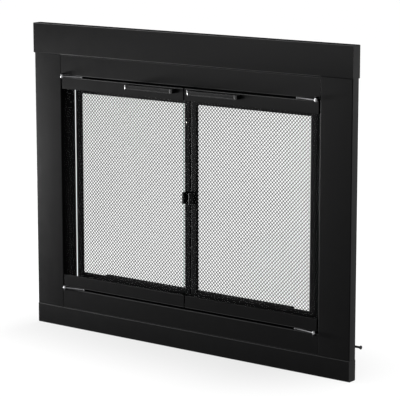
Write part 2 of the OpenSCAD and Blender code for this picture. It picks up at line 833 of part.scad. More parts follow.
// A pull with a round nose and a hollow along each flank
module mesh_pull(side) {
    nose_r = 3;
    color("#0f0f10") on_side(side) difference() {
        along_z(pull_z - pull_h / 2, pull_h) translate([pull_x + pull_w / 2, pull_front_y]) rotate(90)
            channel_outline(pull_w, pull_depth, nose_r);
        for (side_x = [-1, 1] * (pull_w / 2 + 0.84 * pull_hollow_r))
            translate([pull_x + side_x, mesh_y - 1.2 * pull_hollow_r, pull_z - pull_h / 2 - 1])
                cylinder(r = pull_hollow_r, h = pull_h + 2);
        translate([pull_x, mesh_y - pull_thread, pull_z]) rotate([-90, 0, 0])
            cylinder(r = pull_screw_r, h = pull_thread + 1);
    }
}

module pull_screw(side) {
    color("#777779") on_side(side) translate([pull_x, mesh_y + frame_t, pull_z]) rotate([90, 0, 0]) {
        cylinder(r = pull_screw_r, h = frame_t + pull_thread);
        translate([0, 0, -2.2]) cylinder(r = 1.8 * pull_screw_r, h = 2.2);
    }
}

module mesh_hinge_pins(side) {
    out = mesh_end_gap + bush_length;
    color("#9a9a9c") on_side(side) for (z = [mesh_low - out, mesh_high - hinge_pin_in])
        translate([hinge_x, hinge_y, z]) cylinder(r = hinge_pin_r, h = out + hinge_pin_in);
}

// ---- Draft vent ----

// The air slots' places, from the middle outwards on both sides
slot_x = [for (side = [-1, 1], i = [0 : slots_per_side - 1]) side * (first_slot_x + i * slot_pitch)];

module draft_housing() {
    color("#0f0f10") difference() {
        translate([0, vent_y, vent_z]) {
            along_x(-vent_half, vent_length)
                channel_section(vent_h, vent_d, vent_d, vent_sheet_t, vent_sheet_t + 0.4);
            for (x = [-vent_half, vent_half - vent_sheet_t]) along_x(x, vent_sheet_t)
                channel_outline(vent_h, vent_d, vent_sheet_t + 0.4);
        }
        for (x = slot_x) translate([x - slot_w / 2, vent_y - 1, slot_z - slot_h / 2])
            cube([slot_w, vent_sheet_t + 2, slot_h]);
        translate([-tab_w / 2 - 1, vent_y - 1, slot_z - tab_h / 2 - 0.5])
            cube([tab_w + 2 + slide_travel, vent_sheet_t + 2, tab_h + 1]);
    }
}

// Blocks inside the housing that keep the slide against its front wall
module draft_guides() {
    back = slide_y + slide_t + slide_gap;
    inner_low = vent_z + vent_sheet_t;
    color("#2a2a2b") both_sides() translate([0.7 * vent_half, back, inner_low])
        cube([8, vent_y + vent_d - back, vent_h - 2 * vent_sheet_t]);
}

module draft_slide() {
    left = -vent_half + vent_sheet_t + 0.5;
    right = -left - slide_travel;
    color("#4b4b4d") difference() {
        translate([left, slide_y, slide_low]) cube([right - left, slide_t, slide_high - slide_low]);
        for (x = slot_x) translate([x - slot_w / 2 - slide_travel, slide_y - 1, slot_z - slot_h / 2])
            cube([slot_w, slide_t + 2, slot_h]);
    }
}

module draft_tab() {
    color("#8a8a8c") translate([-tab_w / 2, vent_y - tab_reach, slot_z - tab_h / 2])
        cube([tab_w, slide_y - vent_y + tab_reach, tab_h]);
}

// ---- Fastening ----

module side_brackets() {
    web_back_y = front_y + sheet_t;
    color("#3a3a3c") both_sides() difference() {
        union() {
            along_x(bracket_x, bracket_t) {
                translate([web_back_y, bracket_z - bracket_r])
                    square([bracket_reach - web_back_y, 2 * bracket_r]);
                translate([bracket_reach, bracket_z]) circle(bracket_r);
            }
            translate([bracket_x, web_back_y, bracket_z - bracket_r])
                cube([bracket_foot, bracket_t, 2 * bracket_r]);
        }
        translate([bracket_x - 1, bracket_reach, bracket_z]) rotate([0, 90, 0])
            cylinder(r = tension_r + running_gap, h = bracket_t + 2);
        translate([bracket_x + 0.55 * bracket_foot, web_back_y - 1, bracket_z]) rotate([-90, 0, 0])
            cylinder(r = bolt_r + running_gap, h = bracket_t + 2);
    }
}

// Weld studs on the side panels' webs, with the nuts that hold the brackets' feet
module bracket_studs() {
    color("#8a8a8c") both_sides() translate([bracket_x + 0.55 * bracket_foot, front_y + sheet_t, bracket_z])
        rotate([-90, 0, 0]) {
            cylinder(r = bolt_r, h = bracket_t + 2.4 * bolt_r);
            translate([0, 0, bracket_t]) cylinder(r = 2 * bolt_r, h = 1.6 * bolt_r, $fn = 6);
        }
}

// Screws with hex heads, lock nuts and flat pads that press against the fireplace's sides
module tension_screws() {
    inner_x = bracket_x - tension_inner;
    color("#3c3c3e") both_sides() translate([0, bracket_reach, bracket_z]) rotate([0, 90, 0]) {
        translate([0, 0, inner_x]) cylinder(r = tension_r, h = tension_end - inner_x);
        translate([0, 0, inner_x]) cylinder(r = 2 * tension_r, h = 1.6 * tension_r, $fn = 6);
        translate([0, 0, bracket_x + bracket_t]) cylinder(r = 2 * tension_r, h = 1.5 * tension_r, $fn = 6);
        translate([0, 0, tension_end - pad_t]) cylinder(r = pad_r, h = pad_t);
    }
}

module lintel_clamps() {
    back_y = clamp_y + 0.4 * clamp_w;
    color("#3a3a3c") difference() {
        both_sides() translate([clamp_x - clamp_w / 2, channel_y + 2, clamp_z])
            cube([clamp_w, back_y - channel_y - 2, clamp_t]);
        clamp_bolt_places(clamp_z - 1) cylinder(r = bolt_r + bolt_play, h = clamp_t + 2);
        both_sides() translate([clamp_x, clamp_y, clamp_z - 1])
            cylinder(r = clamp_bolt_r + running_gap, h = clamp_t + 2);
    }
}

module clamp_bolts() {
    color("#8a8a8c") clamp_bolt_places(doorway_high - sheet_t) bolt(bolt_r, 2 * sheet_t + clamp_t);
}

// Jack screws with hex heads, nuts on the clamps and pads that press up under the lintel
module lintel_screws() {
    low_z = top_channel_z + 0.28 * top_channel_h;
    top_z = doorway_high + lintel_reach;
    color("#8a8a8c") both_sides() translate([clamp_x, clamp_y, 0]) {
        translate([0, 0, low_z]) cylinder(r = clamp_bolt_r, h = top_z - low_z);
        for (z = [low_z, clamp_z + clamp_t]) translate([0, 0, z])
            cylinder(r = 1.8 * clamp_bolt_r, h = 1.5 * clamp_bolt_r, $fn = 6);
        translate([0, 0, top_z - lintel_pad_t]) cylinder(r = lintel_pad_r, h = lintel_pad_t);
    }
}

// ---- Every node ----

header_panel();
side_panel(-1);  // left_side_panel
side_panel(1);  // right_side_panel
bottom_panel();
upper_rail();
lower_rail();
jamb(-1);  // left_jamb
jamb(1);  // right_jamb
top_channel();
sill_channel();
seam_bolts();
rail_bolts();
channel_bolts();
frame_rivets();
pivot_lugs();
pivot_pins();
mesh_hinge_bushes();
magnet_catches();
top_rail(-1);  // left_top_rail
bottom_rail(-1);  // left_bottom_rail
glass_pane(-1);  // left_glass_pane
gaskets(-1);  // left_gaskets
handle(-1);  // left_handle
handle_screws(-1);  // left_handle_screws
pivot_rods(-1);  // left_pivot_rods
strike_plate(-1);  // left_strike_plate
top_rail(1);  // right_top_rail
bottom_rail(1);  // right_bottom_rail
glass_pane(1);  // right_glass_pane
gaskets(1);  // right_gaskets
handle(1);  // right_handle
handle_screws(1);  // right_handle_screws
pivot_rods(1);  // right_pivot_rods
strike_plate(1);  // right_strike_plate
mesh_stiles(-1);  // left_mesh_stiles
mesh_rails(-1);  // left_mesh_rails
mesh_screen(-1);  // left_mesh_screen
mesh_retainers(-1);  // left_mesh_retainers
mesh_pull(-1);  // left_mesh_pull
pull_screw(-1);  // left_pull_screw
mesh_hinge_pins(-1);  // left_mesh_hinge_pins
mesh_stiles(1);  // right_mesh_stiles
mesh_rails(1);  // right_mesh_rails
mesh_screen(1);  // right_mesh_screen
mesh_retainers(1);  // right_mesh_retainers
mesh_pull(1);  // right_mesh_pull
pull_screw(1);  // right_pull_screw
mesh_hinge_pins(1);  // right_mesh_hinge_pins
draft_housing();
draft_guides();
draft_slide();
draft_tab();
side_brackets();
bracket_studs();
tension_screws();
lintel_clamps();
clamp_bolts();
lintel_screws();
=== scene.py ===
"""Looks of a fireplace glass door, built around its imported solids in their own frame, in metres.

X runs to the right, Y into the fireplace and Z up. The origin lies at mid width, on the plane of
the masonry.
"""

import json
import logging
import math
from abc import ABC, abstractmethod
from dataclasses import dataclass, replace
from enum import Enum, IntEnum
from typing import Iterable, Sequence

import bmesh
import bpy
from bpy.types import Material, Mesh, Node, NodeSocket, NodeTree, Object, World
from mathutils import Matrix, Vector

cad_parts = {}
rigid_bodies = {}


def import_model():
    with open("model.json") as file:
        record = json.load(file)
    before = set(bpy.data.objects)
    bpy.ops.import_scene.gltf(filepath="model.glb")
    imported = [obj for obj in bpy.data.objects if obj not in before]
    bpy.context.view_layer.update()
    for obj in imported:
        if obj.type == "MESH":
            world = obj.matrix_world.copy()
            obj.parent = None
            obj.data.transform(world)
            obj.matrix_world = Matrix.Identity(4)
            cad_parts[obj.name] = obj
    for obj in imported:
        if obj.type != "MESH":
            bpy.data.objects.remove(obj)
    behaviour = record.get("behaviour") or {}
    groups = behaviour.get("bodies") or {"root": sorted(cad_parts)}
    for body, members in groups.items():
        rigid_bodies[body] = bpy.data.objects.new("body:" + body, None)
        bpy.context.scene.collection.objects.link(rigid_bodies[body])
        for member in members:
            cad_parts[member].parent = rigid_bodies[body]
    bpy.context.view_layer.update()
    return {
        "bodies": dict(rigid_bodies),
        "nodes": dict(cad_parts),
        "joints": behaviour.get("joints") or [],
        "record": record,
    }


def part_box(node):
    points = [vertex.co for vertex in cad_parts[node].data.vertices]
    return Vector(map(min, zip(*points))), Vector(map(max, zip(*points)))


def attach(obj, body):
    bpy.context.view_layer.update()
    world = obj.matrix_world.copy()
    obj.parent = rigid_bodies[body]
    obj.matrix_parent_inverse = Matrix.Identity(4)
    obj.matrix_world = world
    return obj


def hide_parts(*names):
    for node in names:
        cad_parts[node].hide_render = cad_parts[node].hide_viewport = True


Triple = tuple[float, float, float]

LOG = logging.getLogger("fireplace_door")
MM = 0.001
WHITE = (1, 1, 1, 1)
UNSTRETCHED = (1, 1, 1)

# A face belongs to a fold where its normal lies less than this along every axis.
FOLD_FACING = 0.98
# A fold looks down where the Z of its normal is below this.
DOWNWARD = -0.1
# Faces nearer to mid width than this have no outer side, in metres.
MIDDLE_HALF = 0.1
# Vertices closer than this are one, in metres.
MERGE_WITHIN = 2e-6
# Faces that meet at less than this angle are one.
FLAT_WITHIN = math.radians(0.4)
# Edges that turn by more than this angle are rounded.
SHARP_FROM = math.radians(34)
# The part of a pattern's range that its values fill.
PATTERN_RANGE = (0.3, 0.7)
# How far a woven wire bows out at a crossing, in radii, its faces round, and its straight lengths.
WIRE_CRIMP, WIRE_FACETS, WIRE_STEPS = 0.8, 6, 2
# The radius of a thread's ridge, in pitches, its faces round, and its straight lengths in a turn.
THREAD_RIDGE, THREAD_FACETS, THREAD_STEPS = 0.35, 4, 16


class Side(Enum):
    """The two hands of the unit, as seen from the room and as they stand in names."""

    LEFT = "left"
    RIGHT = "right"


class Rounding:
    """The widths of rounded edges, in metres."""

    FINE = 0.2 * MM
    FRAME = 0.25 * MM
    FITTING = 0.3 * MM
    PANEL = 0.35 * MM
    PLATE = 0.4 * MM
    PULL = 0.6 * MM
    HANDLE = 0.9 * MM


# ---- Node trees ----


def emptied(owner: Material | World) -> NodeTree:
    """Turns on a material's or a world's nodes and returns its tree, emptied."""
    owner.use_nodes = True
    owner.node_tree.nodes.clear()
    return owner.node_tree


class NodeSheet:
    """A node tree with short calls that add and join its nodes."""

    def __init__(self, tree: NodeTree) -> None:
        """Keeps the tree.

        Args:
            tree: the tree that the nodes go in.
        """
        self.tree = tree

    def put(self, value: object, target: NodeSocket) -> None:
        """Joins a socket to an input, or gives the input a plain value."""
        if isinstance(value, NodeSocket):
            self.tree.links.new(value, target)
        else:
            target.default_value = value

    def fill(self, node: Node, **values: object) -> Node:
        """Joins or fills a node's named inputs.

        Args:
            node: the node.
            **values: sockets or plain values, with spaces in names written as underscores.

        Returns:
            The node.
        """
        for name, value in values.items():
            self.put(value, node.inputs[name.replace("_", " ")])
        return node

    def add(self, kind: str, options: dict[str, object] | None = None, **values: object) -> Node:
        """Adds a node.

        Args:
            kind: the node's Blender type name.
            options: its options.
            **values: its inputs, as fill takes them.

        Returns:
            The new node.
        """
        node = self.tree.nodes.new(kind)
        for name, value in (options or {}).items():
            setattr(node, name, value)
        return self.fill(node, **values)

    def calculate(self, operation: str, *operands: object) -> NodeSocket:
        """Adds a math node.

        Args:
            operation: Blender's name of the operation.
            *operands: numbers or sockets.

        Returns:
            The result's socket.
        """
        node = self.add("ShaderNodeMath", {"operation": operation})
        for value, target in zip(operands, node.inputs):
            self.put(value, target)
        return node.outputs[0]

    def ramp(
        self,
        value: NodeSocket,
        levels: tuple[float, float],
        reach: tuple[float, float] = PATTERN_RANGE,
        course: str = "LINEAR",
    ) -> NodeSocket:
        """Maps a number onto a level, and holds the level beyond its reach.

        Args:
            value: the number's socket.
            levels: the first and the last level.
            reach: the numbers where those two lie.
            course: Blender's name of the way from one to the other.

        Returns:
            The level's socket.
        """
        node = self.add("ShaderNodeMapRange", {"interpolation_type": course}, Value=value)
        self.fill(node, From_Min=reach[0], From_Max=reach[1], To_Min=levels[0], To_Max=levels[1])
        return node.outputs["Result"]

    def seen(self) -> NodeSocket:
        """Adds a factor: 1 for rays of the eye, of reflections and through glass, 0 for others."""
        path = self.add("ShaderNodeLightPath")
        factor = path.outputs["Is Camera Ray"]
        for name in ("Is Glossy Ray", "Is Transmission Ray"):
            factor = self.calculate("MAXIMUM", factor, path.outputs[name])
        return factor


# ---- Finishes ----


def lighter(colour: Sequence[float], by: float) -> tuple[float, ...]:
    """Multiplies a colour's channels, up to white."""
    return tuple(min(1.0, channel * by) for channel in colour)


class ShaderSheet(NodeSheet):
    """One material's node tree, with the patterns that its Principled shader reads."""

    def __init__(self, name: str) -> None:
        """Starts a material with a Principled shader on its output.

        Args:
            name: the material's name.
        """
        self.material = bpy.data.materials.new(name)
        super().__init__(emptied(self.material))
        self.shader = self.add("ShaderNodeBsdfPrincipled")
        self.add("ShaderNodeOutputMaterial", Surface=self.shader.outputs["BSDF"])

    def place(self, scale: Triple) -> NodeSocket:
        """Reads the object's own coordinates, stretched along its axes.

        Args:
            scale: the stretch along X, Y and Z.

        Returns:
            The stretched vector's socket.
        """
        where = self.add("ShaderNodeTexCoord").outputs["Object"]
        return self.add("ShaderNodeMapping", Vector=where, Scale=scale).outputs["Vector"]

    def noise(self, scale: float, detail: float = 2.0, stretch: Triple = UNSTRETCHED) -> NodeSocket:
        """Adds a noise pattern fixed to the piece.

        Args:
            scale: how many features fit in a metre.
            detail: the pattern's octaves.
            stretch: the stretch of the coordinates that the pattern reads.

        Returns:
            The noise factor's socket.
        """
        where = self.place(stretch)
        pattern = self.add(
            "ShaderNodeTexNoise", Vector=where, Scale=scale, Detail=detail, Roughness=0.55
        )
        return pattern.outputs["Fac"]

    def mottle(self, factor: NodeSocket, colour: Triple, low: float, high: float) -> NodeSocket:
        """Mixes two shades of a colour by a pattern.

        Args:
            factor: the pattern's factor.
            colour: the colour.
            low: what it is multiplied by at the low end of PATTERN_RANGE.
            high: what it is multiplied by at the high end.

        Returns:
            The mixed colour's socket.
        """
        node = self.add("ShaderNodeValToRGB", Fac=factor)
        for stop, position, by in zip(node.color_ramp.elements, PATTERN_RANGE, (low, high)):
            stop.position = position
            stop.color = (*lighter(colour, by), 1)
        return node.outputs["Color"]

    def bump(self, height: NodeSocket, depth: float, strength: float) -> None:
        """Raises the surface by a pattern.

        Args:
            height: the pattern's factor.
            depth: the height of the relief, in metres.
            strength: how strongly it shows.
        """
        relief = self.add("ShaderNodeBump", Height=height, Strength=strength, Distance=depth)
        self.put(relief.outputs["Normal"], self.shader.inputs["Normal"])


@dataclass(frozen=True)
class Finish(ABC):
    """What the eye sees of a piece.

    Attributes:
        name: the material's name.
        colour: its linear colour, or for glass the one that it gives to what is behind it.
    """

    name: str
    colour: Triple

    @abstractmethod
    def material(self) -> Material:
        """Builds the finish's material."""


@dataclass(frozen=True)
class Paint(Finish):
    """Baked black paint on sheet steel: an even film with a fine orange peel.

    Attributes:
        roughness: its mean roughness.
        gloss: how strongly it mirrors, where 0.5 is common paint.
        peel: the strength of the orange peel.
    """

    roughness: float = 0.42
    gloss: float = 0.3
    peel: float = 0.12

    def material(self) -> Material:
        """Builds the paint's material."""
        sheet = ShaderSheet(self.name)
        cloud = sheet.noise(scale=9.0, detail=3.0)
        haze = sheet.noise(scale=60.0, detail=4.0)
        peel = sheet.noise(scale=1400.0, detail=1.0)
        sheet.fill(
            sheet.shader,
            Base_Color=sheet.mottle(cloud, self.colour, low=0.94, high=1.06),
            Roughness=sheet.ramp(haze, (self.roughness - 0.015, self.roughness + 0.02)),
            Specular_IOR_Level=self.gloss,
        )
        sheet.bump(peel, depth=0.06 * MM, strength=self.peel)
        return sheet.material


@dataclass(frozen=True)
class Steel(Finish):
    """Bare or plated metal with fine drawing marks along one axis.

    Attributes:
        roughness: its mean roughness.
        grain: the stretch of the marks, small along the way they run.
    """

    roughness: float = 0.3
    grain: Triple = (0.06, 1.0, 1.0)

    def material(self) -> Material:
        """Builds the metal's material."""
        sheet = ShaderSheet(self.name)
        marks = sheet.noise(scale=1800.0, detail=3.0, stretch=self.grain)
        patches = sheet.noise(scale=90.0, detail=3.0)
        sheet.fill(
            sheet.shader,
            Base_Color=sheet.mottle(patches, self.colour, low=0.86, high=1.1),
            Roughness=sheet.ramp(marks, (self.roughness - 0.06, self.roughness + 0.1)),
            Metallic=1.0,
        )
        sheet.bump(marks, depth=0.03 * MM, strength=0.15)
        return sheet.material


@dataclass(frozen=True)
class Glazing(Finish):
    """Clear toughened glass with the faintest film of dust.

    Attributes:
        bend: its index of refraction, low for a pane with a film that takes off the glare.
    """

    bend: float = 1.07

    def material(self) -> Material:
        """Builds the glass's material."""
        sheet = ShaderSheet(self.name)
        dust = sheet.noise(scale=14.0, detail=4.0, stretch=(1.0, 1.0, 0.5))
        sheet.fill(
            sheet.shader,
            Base_Color=sheet.mottle(dust, self.colour, low=1.0, high=0.985),
            Roughness=0.0,
            Transmission_Weight=1.0,
            IOR=self.bend,
        )
        return sheet.material


@dataclass(frozen=True)
class Tape(Finish):
    """Woven tape folded round an edge.

    Attributes:
        fineness: the scale of the weave's pattern.
    """

    fineness: float = 150.0

    def material(self) -> Material:
        """Builds the tape's material."""
        sheet = ShaderSheet(self.name)
        weave = sheet.add(
            "ShaderNodeTexWave",
            {"bands_direction": "DIAGONAL"},
            Vector=sheet.place(UNSTRETCHED),
            Scale=self.fineness,
            Distortion=0.6,
        ).outputs["Fac"]
        sheet.fill(
            sheet.shader,
            Base_Color=sheet.mottle(weave, self.colour, low=0.6, high=1.3),
            Roughness=0.95,
            Specular_IOR_Level=0.1,
        )
        sheet.bump(weave, depth=0.2 * MM, strength=0.5)
        return sheet.material


@dataclass(frozen=True)
class Moulding(Finish):
    """Moulded heat-proof plastic with a fine texture.

    Attributes:
        roughness: its mean roughness.
        gloss: how strongly it mirrors, where 0.5 is common plastic.
    """

    roughness: float = 0.5
    gloss: float = 0.08

    def material(self) -> Material:
        """Builds the plastic's material."""
        sheet = ShaderSheet(self.name)
        speck = sheet.noise(scale=700.0)
        sheet.fill(
            sheet.shader,
            Base_Color=sheet.mottle(speck, self.colour, low=0.85, high=1.2),
            Roughness=sheet.ramp(speck, (self.roughness - 0.05, self.roughness + 0.06)),
            Specular_IOR_Level=self.gloss,
        )
        sheet.bump(speck, depth=0.08 * MM, strength=0.25)
        return sheet.material


SURROUND_BLACK = Paint("surround_black", (0.002, 0.002, 0.0021), 0.34, gloss=0.035)
# A lighter, glossier copy of the surround's paint for folds and rounded edges: a painted highlight.
FOLD_PAINTED_HIGHLIGHT = Paint("fold_black", (0.008, 0.008, 0.0082), 0.34, gloss=0.24, peel=0.05)
# A weaker painted highlight for the folds of the lower panels.
SOFT_FOLD_PAINTED_HIGHLIGHT = Paint("soft_fold_black", (0.006, 0.006, 0.0062), 0.4, gloss=0.1, peel=0.05)
SIDE_FOLD = Paint("side_fold_black", (0.002, 0.002, 0.0021), 0.4, gloss=0.03, peel=0.05)
# A darker, matt copy for the downward folds of the lower and side panels: painted shade.
FOLD_PAINTED_SHADE = Paint("dull_fold_black", (0.0012, 0.0012, 0.0013), 0.5, gloss=0.015, peel=0.05)
# A lighter copy of the black paint for faces that look into the fireplace: painted light on the
# back.
BACK_PAINTED_LIGHT = Paint("back_black", (0.012, 0.012, 0.0122), 0.5, gloss=0.12, peel=0.2)
# A darker copy without gloss for faces that look up: painted shade on the top.
TOP_PAINTED_SHADE = Paint("top_black", (0.003, 0.003, 0.0031), 0.6, gloss=0.0, peel=0.05)
# A much lighter copy for faces that look out to the unit's own side: painted light on that side.
SIDE_PAINTED_LIGHT = Paint("side_black", (0.034, 0.034, 0.0345), 0.5, gloss=0.02)
RAIL_BLACK = Paint("door_rail_black", (0.002, 0.002, 0.0021), 0.34, gloss=0.035)
# A lighter, glossier copy of the door rails' paint for their folds: a painted highlight.
RAIL_FOLD_PAINTED_HIGHLIGHT = Paint("door_rail_fold_black", (0.007, 0.007, 0.0072), 0.36, gloss=0.26, peel=0.05)
FRAME_BLACK = Paint("inner_frame_black", (0.001, 0.001, 0.0011), 0.6, gloss=0.01)
HANDLE_BLACK = Paint("handle_black", (0.003, 0.003, 0.0032), 0.3, gloss=0.06, peel=0.04)
# A lighter, glossier copy of the handle's paint for its rounded edges: a painted highlight.
HANDLE_EDGE_PAINTED_HIGHLIGHT = Paint("handle_edge_black", (0.02, 0.02, 0.0205), 0.28, gloss=0.4, peel=0.03)
MESH_FRAME_BLACK = Paint("mesh_frame_black", (0.0015, 0.0015, 0.0016), 0.42, gloss=0.02)
WIRE_BLACK = Paint("wire_black", (0.004, 0.004, 0.0042), 0.5, gloss=0.03)
BRACKET_BLACK = Paint("bracket_black", (0.012, 0.012, 0.0125), 0.5)
MAGNET_BLACK = Moulding("magnet_case_black", (0.012, 0.012, 0.013))
PULL_BLACK = Moulding("pull_black", (0.002, 0.002, 0.0022), 0.45, gloss=0.03)
BRIGHT_ROD = Steel("bright_rod", (0.07, 0.07, 0.072), 0.42)
PIVOT_PIN = Steel("pivot_pin", (0.012, 0.012, 0.0125), 0.5, grain=(1.0, 1.0, 0.06))
PIVOT_BALL = Steel("pivot_ball", (0.24, 0.24, 0.245), 0.3, grain=(1.0, 1.0, 1.0))
ZINC = Steel("zinc_plate", (0.55, 0.56, 0.58), 0.34)
PIN_STEEL = Steel("pin_steel", (0.5, 0.5, 0.51), 0.3, grain=(1.0, 1.0, 0.06))
DARK_STEEL = Steel("black_oxide", (0.015, 0.015, 0.016), 0.5)
SLIDE_STEEL = Steel("slide_steel", (0.2, 0.2, 0.205), 0.45)
BUSH_BRASS = Steel("bush_brass", (0.62, 0.45, 0.18), 0.32, grain=(1.0, 1.0, 0.06))
DOOR_GLASS = Glazing("door_glass", (0.955, 0.964, 0.961))
GLASS_EDGE = Glazing("glass_edge", (0.34, 0.47, 0.43))
EDGE_TAPE = Tape("edge_tape", (0.01, 0.01, 0.01))


class Layer(IntEnum):
    """The places of a coat's finishes among its piece's materials."""

    FLAT = 0
    FOLD = 1
    UNDER = 2
    BACK = 3
    TOP = 4
    SIDE = 5


@dataclass(frozen=True)
class Coat:
    """Lighter and darker copies of a piece's paint, given by where a face looks: painted highlight,
    painted light and painted shade.

    Attributes:
        flat: the finish of the faces that look to the room, down or to mid width.
        fold: the finish of the folds and rounded edges, mostly a lighter, glossier copy as a
            painted highlight.
        under: the finish of those folds that look down, further out than under_from; the coats give
            it the painted highlight, plain paint, or a darker copy as painted shade.
        back: the finish of the faces that look into the fireplace, mostly a lighter copy as painted
            light.
        top: the finish of the faces that look up, mostly a darker, matt copy as painted shade.
        side: the finish of the faces that look out to the unit's own side; for the panels a lighter
            copy as painted light.
        under_from: the distance from mid width where that finish starts, in metres.
    """

    flat: Finish
    fold: Finish
    under: Finish
    back: Finish
    top: Finish
    side: Finish
    under_from: float = 0.0

    @classmethod
    def even(cls, finish: Finish) -> "Coat":
        """Returns a coat with the same finish everywhere."""
        return cls(*[finish for _ in Layer])

    def layers(self) -> tuple[Finish, ...]:
        """Returns the finishes in the order of Layer."""
        return (self.flat, self.fold, self.under, self.back, self.top, self.side)

    def layer_of(self, normal: Vector, centre: Vector) -> Layer:
        """Returns which finish a face has.

        Args:
            normal: the face's normal.
            centre: the face's middle, in the unit's frame.

        Returns:
            The finish's place in layers().
        """
        if max(abs(part) for part in normal) < FOLD_FACING:
            below = normal.z < DOWNWARD and abs(centre.x) > self.under_from
            return Layer.UNDER if below else Layer.FOLD
        if normal.y > FOLD_FACING:
            return Layer.BACK
        if normal.z > FOLD_FACING:
            return Layer.TOP
        return Layer.SIDE if normal.x * centre.x > MIDDLE_HALF else Layer.FLAT


# The coats: painted highlights on folds, weaker on the lower panels and none on the side panels'
# folds, and on the header's downward fold only over the rail; painted shade on tops and on the
# lower and side panels' downward folds; painted light on backs and on the panels' outer sides. The
# frame's coat has only the painted light on its back, the mesh frames' coat adds painted shade on
# their tops, and the handles' coat has a painted highlight on their edges.
HEADER_COAT = Coat(SURROUND_BLACK, FOLD_PAINTED_HIGHLIGHT, SIDE_FOLD, BACK_PAINTED_LIGHT, TOP_PAINTED_SHADE, SIDE_PAINTED_LIGHT)
UPPER_COAT = replace(HEADER_COAT, under=FOLD_PAINTED_HIGHLIGHT)
LOWER_COAT = replace(HEADER_COAT, fold=SOFT_FOLD_PAINTED_HIGHLIGHT, under=FOLD_PAINTED_SHADE)
SIDE_COAT = replace(LOWER_COAT, fold=SIDE_FOLD)
DOOR_COAT = replace(HEADER_COAT, flat=RAIL_BLACK, fold=RAIL_FOLD_PAINTED_HIGHLIGHT, under=RAIL_FOLD_PAINTED_HIGHLIGHT, side=RAIL_BLACK)
FRAME_COAT = replace(Coat.even(FRAME_BLACK), back=BACK_PAINTED_LIGHT)
MESH_COAT = replace(Coat.even(MESH_FRAME_BLACK), back=BACK_PAINTED_LIGHT, top=FRAME_BLACK)
HANDLE_COAT = replace(Coat.even(HANDLE_BLACK), fold=HANDLE_EDGE_PAINTED_HIGHLIGHT, under=HANDLE_EDGE_PAINTED_HIGHLIGHT)


class Finishes:
    """Keeps one material of each finish."""

    def __init__(self) -> None:
        """Starts with none built."""
        self._made: dict[str, Material] = {}

    def __getitem__(self, finish: Finish) -> Material:
        """Returns the finish's material, and builds it the first time."""
        if finish.name not in self._made:
            self._made[finish.name] = finish.material()
        return self._made[finish.name]


# ---- Objects ----


def linked(name: str, data: Mesh | bpy.types.Light | bpy.types.Camera) -> Object:
    """Puts data into a new object of the scene, at the origin.

    Args:
        name: the object's name.
        data: its mesh, light or camera.

    Returns:
        The new object.
    """
    made = bpy.data.objects.new(name, data)
    bpy.context.scene.collection.objects.link(made)
    return made


def welded_copy(node: Object) -> bmesh.types.BMesh:
    """Copies a solid's loose triangles into one joined mesh, which the caller frees."""
    shape = bmesh.new()
    shape.from_mesh(node.data)
    bmesh.ops.remove_doubles(shape, verts=shape.verts, dist=MERGE_WITHIN)
    return shape


def object_of(name: str, shape: bmesh.types.BMesh) -> Object:
    """Puts a mesh into a new object at the origin and frees it.

    Args:
        name: the object's name.
        shape: the mesh.

    Returns:
        The new object.
    """
    mesh = bpy.data.meshes.new(name)
    shape.to_mesh(mesh)
    shape.free()
    return linked(name, mesh)


def settled(source: Object, name: str) -> Object:
    """Turns an object with its modifiers into a plain mesh object.

    Args:
        source: the object, which is removed.
        name: the new object's name.

    Returns:
        The plain object.
    """
    graph = bpy.context.evaluated_depsgraph_get()
    mesh = bpy.data.meshes.new_from_object(
        source.evaluated_get(graph), preserve_all_data_layers=True, depsgraph=graph
    )
    mesh.name = name
    old = source.data
    bpy.data.objects.remove(source)
    if old.users == 0:
        bpy.data.meshes.remove(old)
    return linked(name, mesh)


def softened(
    node: Object, name: str, width: float, steps: int = 2, cuts: Sequence[float] = ()
) -> Object:
    """Copies a solid with whole flat faces, and rounds its sharp edges so that they catch light.

    Args:
        node: the solid's object.
        name: the new object's name.
        width: the width of the rounding, in metres.
        steps: how many faces each rounding has.
        cuts: the places along X where its faces are split, in metres.

    Returns:
        The softened object.
    """
    shape = welded_copy(node)
    bmesh.ops.dissolve_limit(shape, angle_limit=FLAT_WITHIN, verts=shape.verts, edges=shape.edges)
    for place in cuts:
        whole = [*shape.verts, *shape.edges, *shape.faces]
        bmesh.ops.bisect_plane(shape, geom=whole, plane_co=(place, 0, 0), plane_no=(1, 0, 0))
    piece = object_of(name + "_raw", shape)
    for face in piece.data.polygons:
        face.use_smooth = True
    piece.data.set_sharp_from_angle(angle=SHARP_FROM)
    rounding = piece.modifiers.new("rounding", "BEVEL")
    rounding.width = width
    rounding.segments = steps
    rounding.limit_method = "ANGLE"
    rounding.angle_limit = SHARP_FROM
    rounding.harden_normals = True
    rounding.use_clamp_overlap = True
    return settled(piece, name)


def islands(node: Object) -> list[tuple[Vector, Vector]]:
    """Finds the box of each separate solid of a node.

    Args:
        node: the node's object.

    Returns:
        The lowest and highest corners, ordered by their places.
    """
    shape = welded_copy(node)
    seen: set[bmesh.types.BMVert] = set()
    boxes: list[tuple[Vector, Vector]] = []
    for start in shape.verts:
        if start in seen:
            continue
        seen.add(start)
        front, found = [start], []
        while front:
            vertex = front.pop()
            found.append(vertex.co.copy())
            for edge in vertex.link_edges:
                other = edge.other_vert(vertex)
                if other not in seen:
                    seen.add(other)
                    front.append(other)
        low = Vector([min(point[axis] for point in found) for axis in range(3)])
        high = Vector([max(point[axis] for point in found) for axis in range(3)])
        boxes.append((low, high))
    shape.free()
    return sorted(boxes, key=lambda pair: tuple(round(value, 4) for value in pair[0]))


